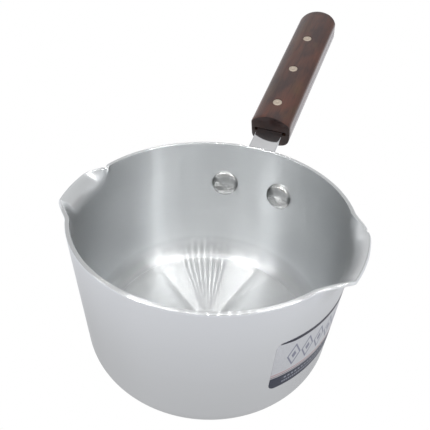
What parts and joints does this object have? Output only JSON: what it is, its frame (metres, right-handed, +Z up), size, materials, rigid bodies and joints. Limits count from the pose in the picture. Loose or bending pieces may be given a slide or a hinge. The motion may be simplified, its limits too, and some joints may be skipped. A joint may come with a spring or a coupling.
{
  "type": "candle melting pot",
  "caption": "Small round aluminium melting pan with two pouring lips and a rising riveted wooden handle.",
  "frame": {"origin": "centre of the flat base, on the surface that the pan stands on", "axes": "+Z up out of the open top, +X along the handle, +Y and -Y near the two pouring lips"},
  "size_m": [0.2769, 0.1516, 0.1393],
  "materials": {
    "pan_aluminium": "spun, with fine brushing round the pan",
    "bracket_steel": "polished",
    "rivet_aluminium": "polished, hammered",
    "handle_wood": "dark stained and varnished",
    "pin_metal": "ground flush",
    "label_foil": "silver foil, printed"
  },
  "bodies": {
    "root": {"pot_body": "pan_aluminium", "handle_bracket": "bracket_steel", "body_rivet_left": "rivet_aluminium", "body_rivet_right": "rivet_aluminium", "handle_scale_upper": "handle_wood", "handle_scale_lower": "handle_wood", "handle_pin_front": "pin_metal", "handle_pin_middle": "pin_metal", "handle_pin_rear": "pin_metal", "label": "label_foil"}
  },
  "joints": []
}
